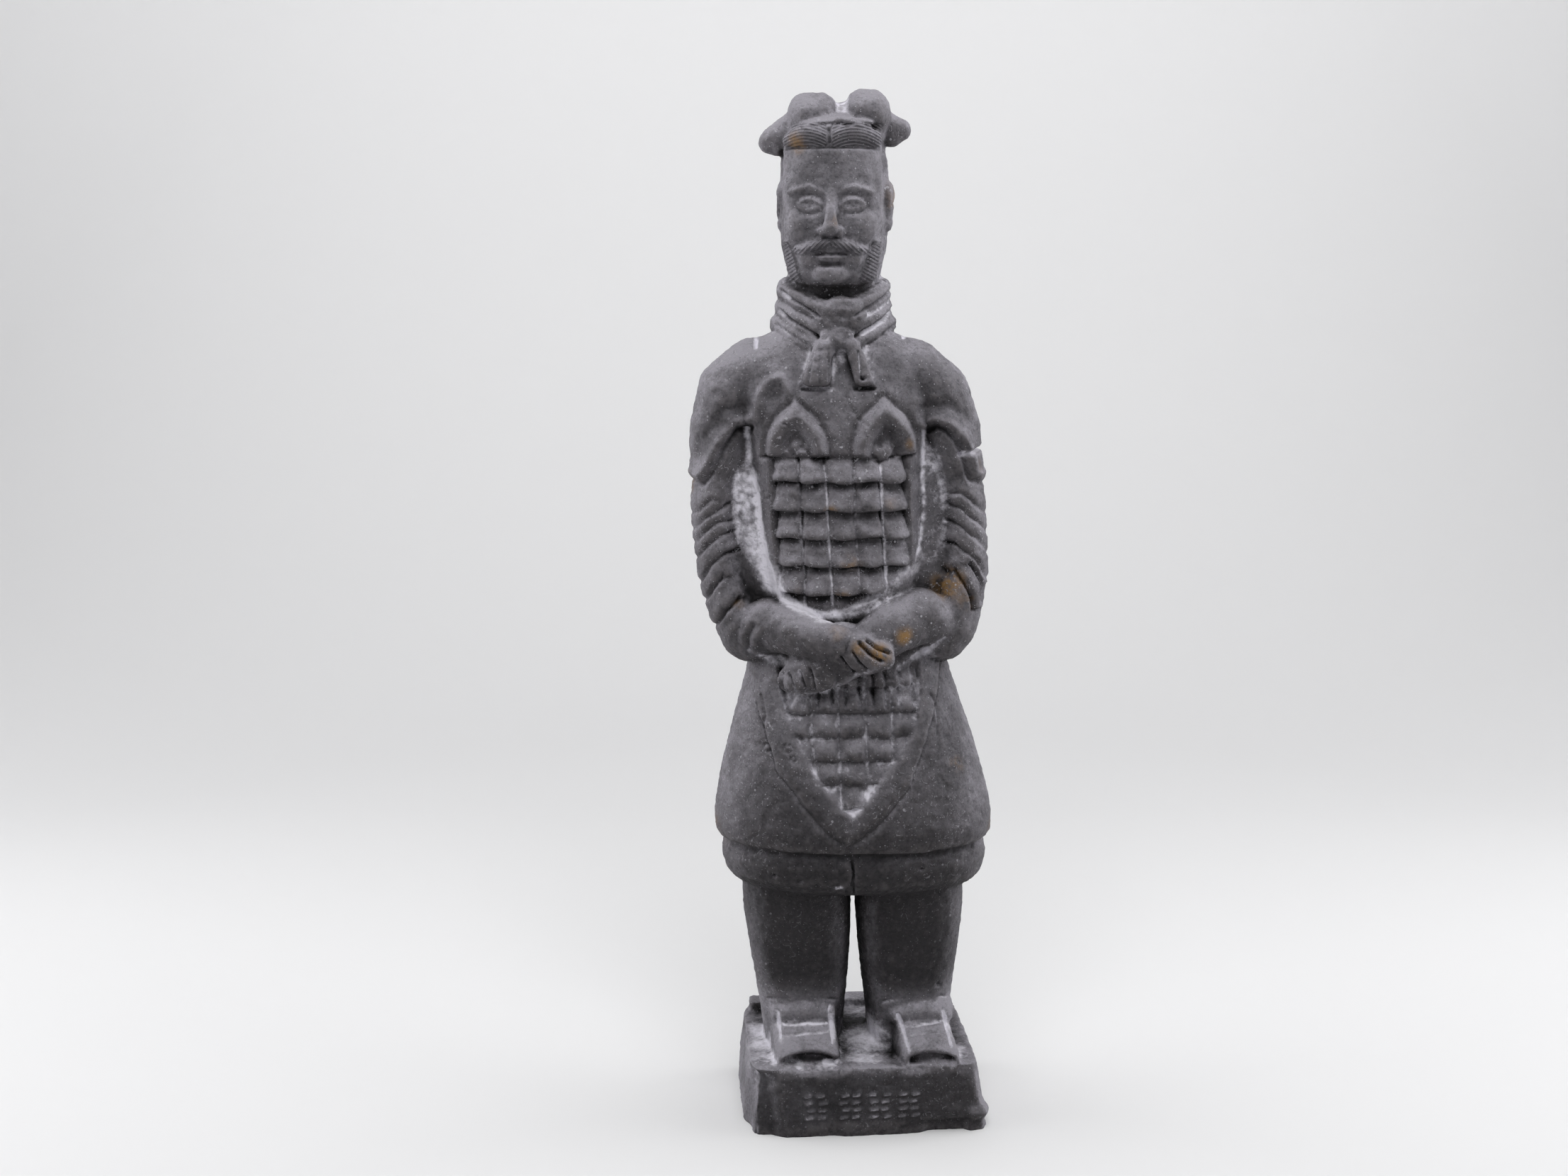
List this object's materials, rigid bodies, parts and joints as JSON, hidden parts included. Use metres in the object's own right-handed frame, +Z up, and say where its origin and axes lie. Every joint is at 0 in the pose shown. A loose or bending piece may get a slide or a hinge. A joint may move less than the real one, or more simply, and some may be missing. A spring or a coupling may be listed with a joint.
{
  "type": "warrior figurine",
  "caption": "Standing figurine of an armoured general with hands folded at the waist, cast together with its block plinth in dark grey fired clay.",
  "frame": {"origin": "centre of the plinth's flat underside", "axes": "+Z up from the underside to the cap, -Y the way the figure faces, +X to the figure's left hand side"},
  "size_m": [0.0988, 0.063, 0.33],
  "materials": {
    "fired_clay": null
  },
  "bodies": {
    "root": {"warrior_figurine": "fired_clay"}
  },
  "joints": []
}
